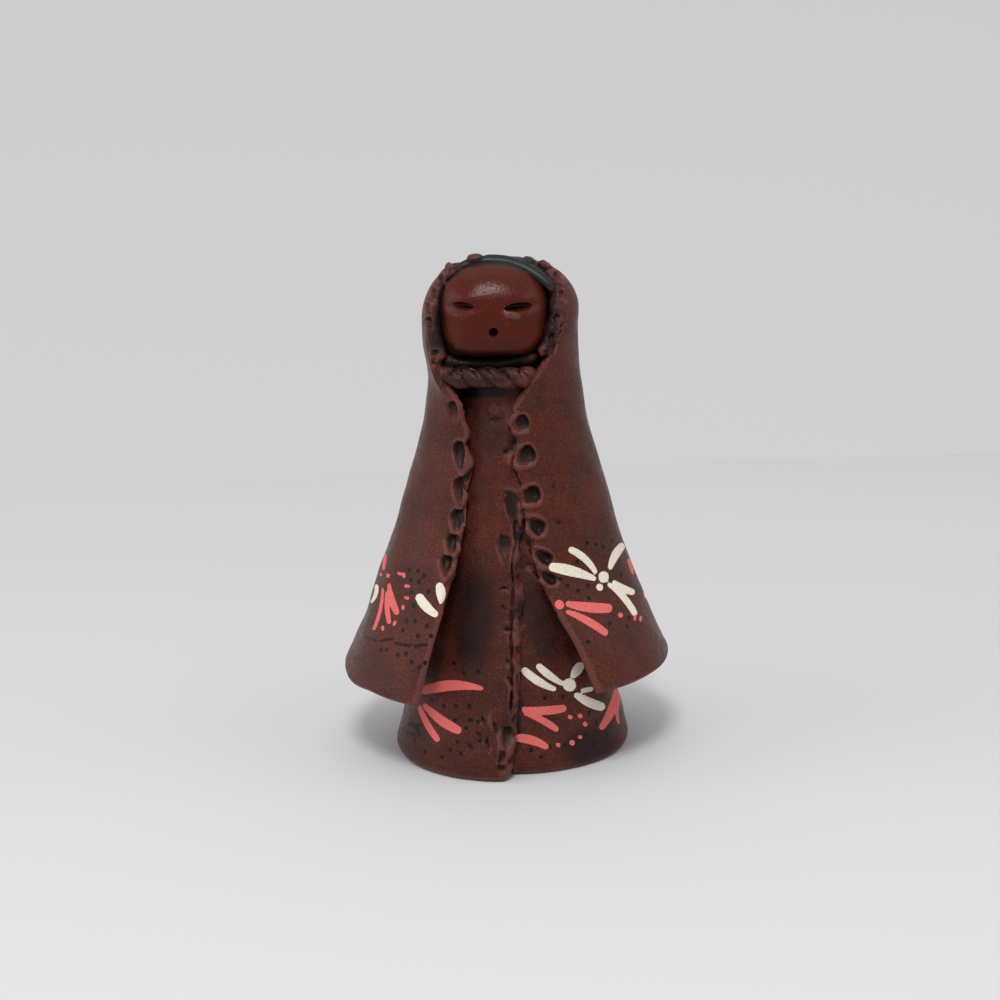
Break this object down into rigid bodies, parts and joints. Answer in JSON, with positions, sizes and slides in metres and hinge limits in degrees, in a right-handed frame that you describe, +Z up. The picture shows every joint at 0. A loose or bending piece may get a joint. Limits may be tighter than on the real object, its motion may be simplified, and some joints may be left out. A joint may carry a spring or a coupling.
{
  "type": "terracotta woman figurine",
  "caption": "Small hand-built fired clay figure of a standing woman in a long dress, a draped shawl and a twisted collar, hollow and open underneath.",
  "frame": {"origin": "on the surface that the figure stands on, in the middle of its footprint box", "axes": "+Z up, the figure faces -Y, +X to the wearer's left"},
  "size_m": [0.0722, 0.0562, 0.1108],
  "materials": {
    "clay": "dark red-brown fired clay, semi-matt, with white and pink painted flowers and black pricked dots"
  },
  "bodies": {
    "root": {"figurine": "clay"}
  },
  "joints": []
}
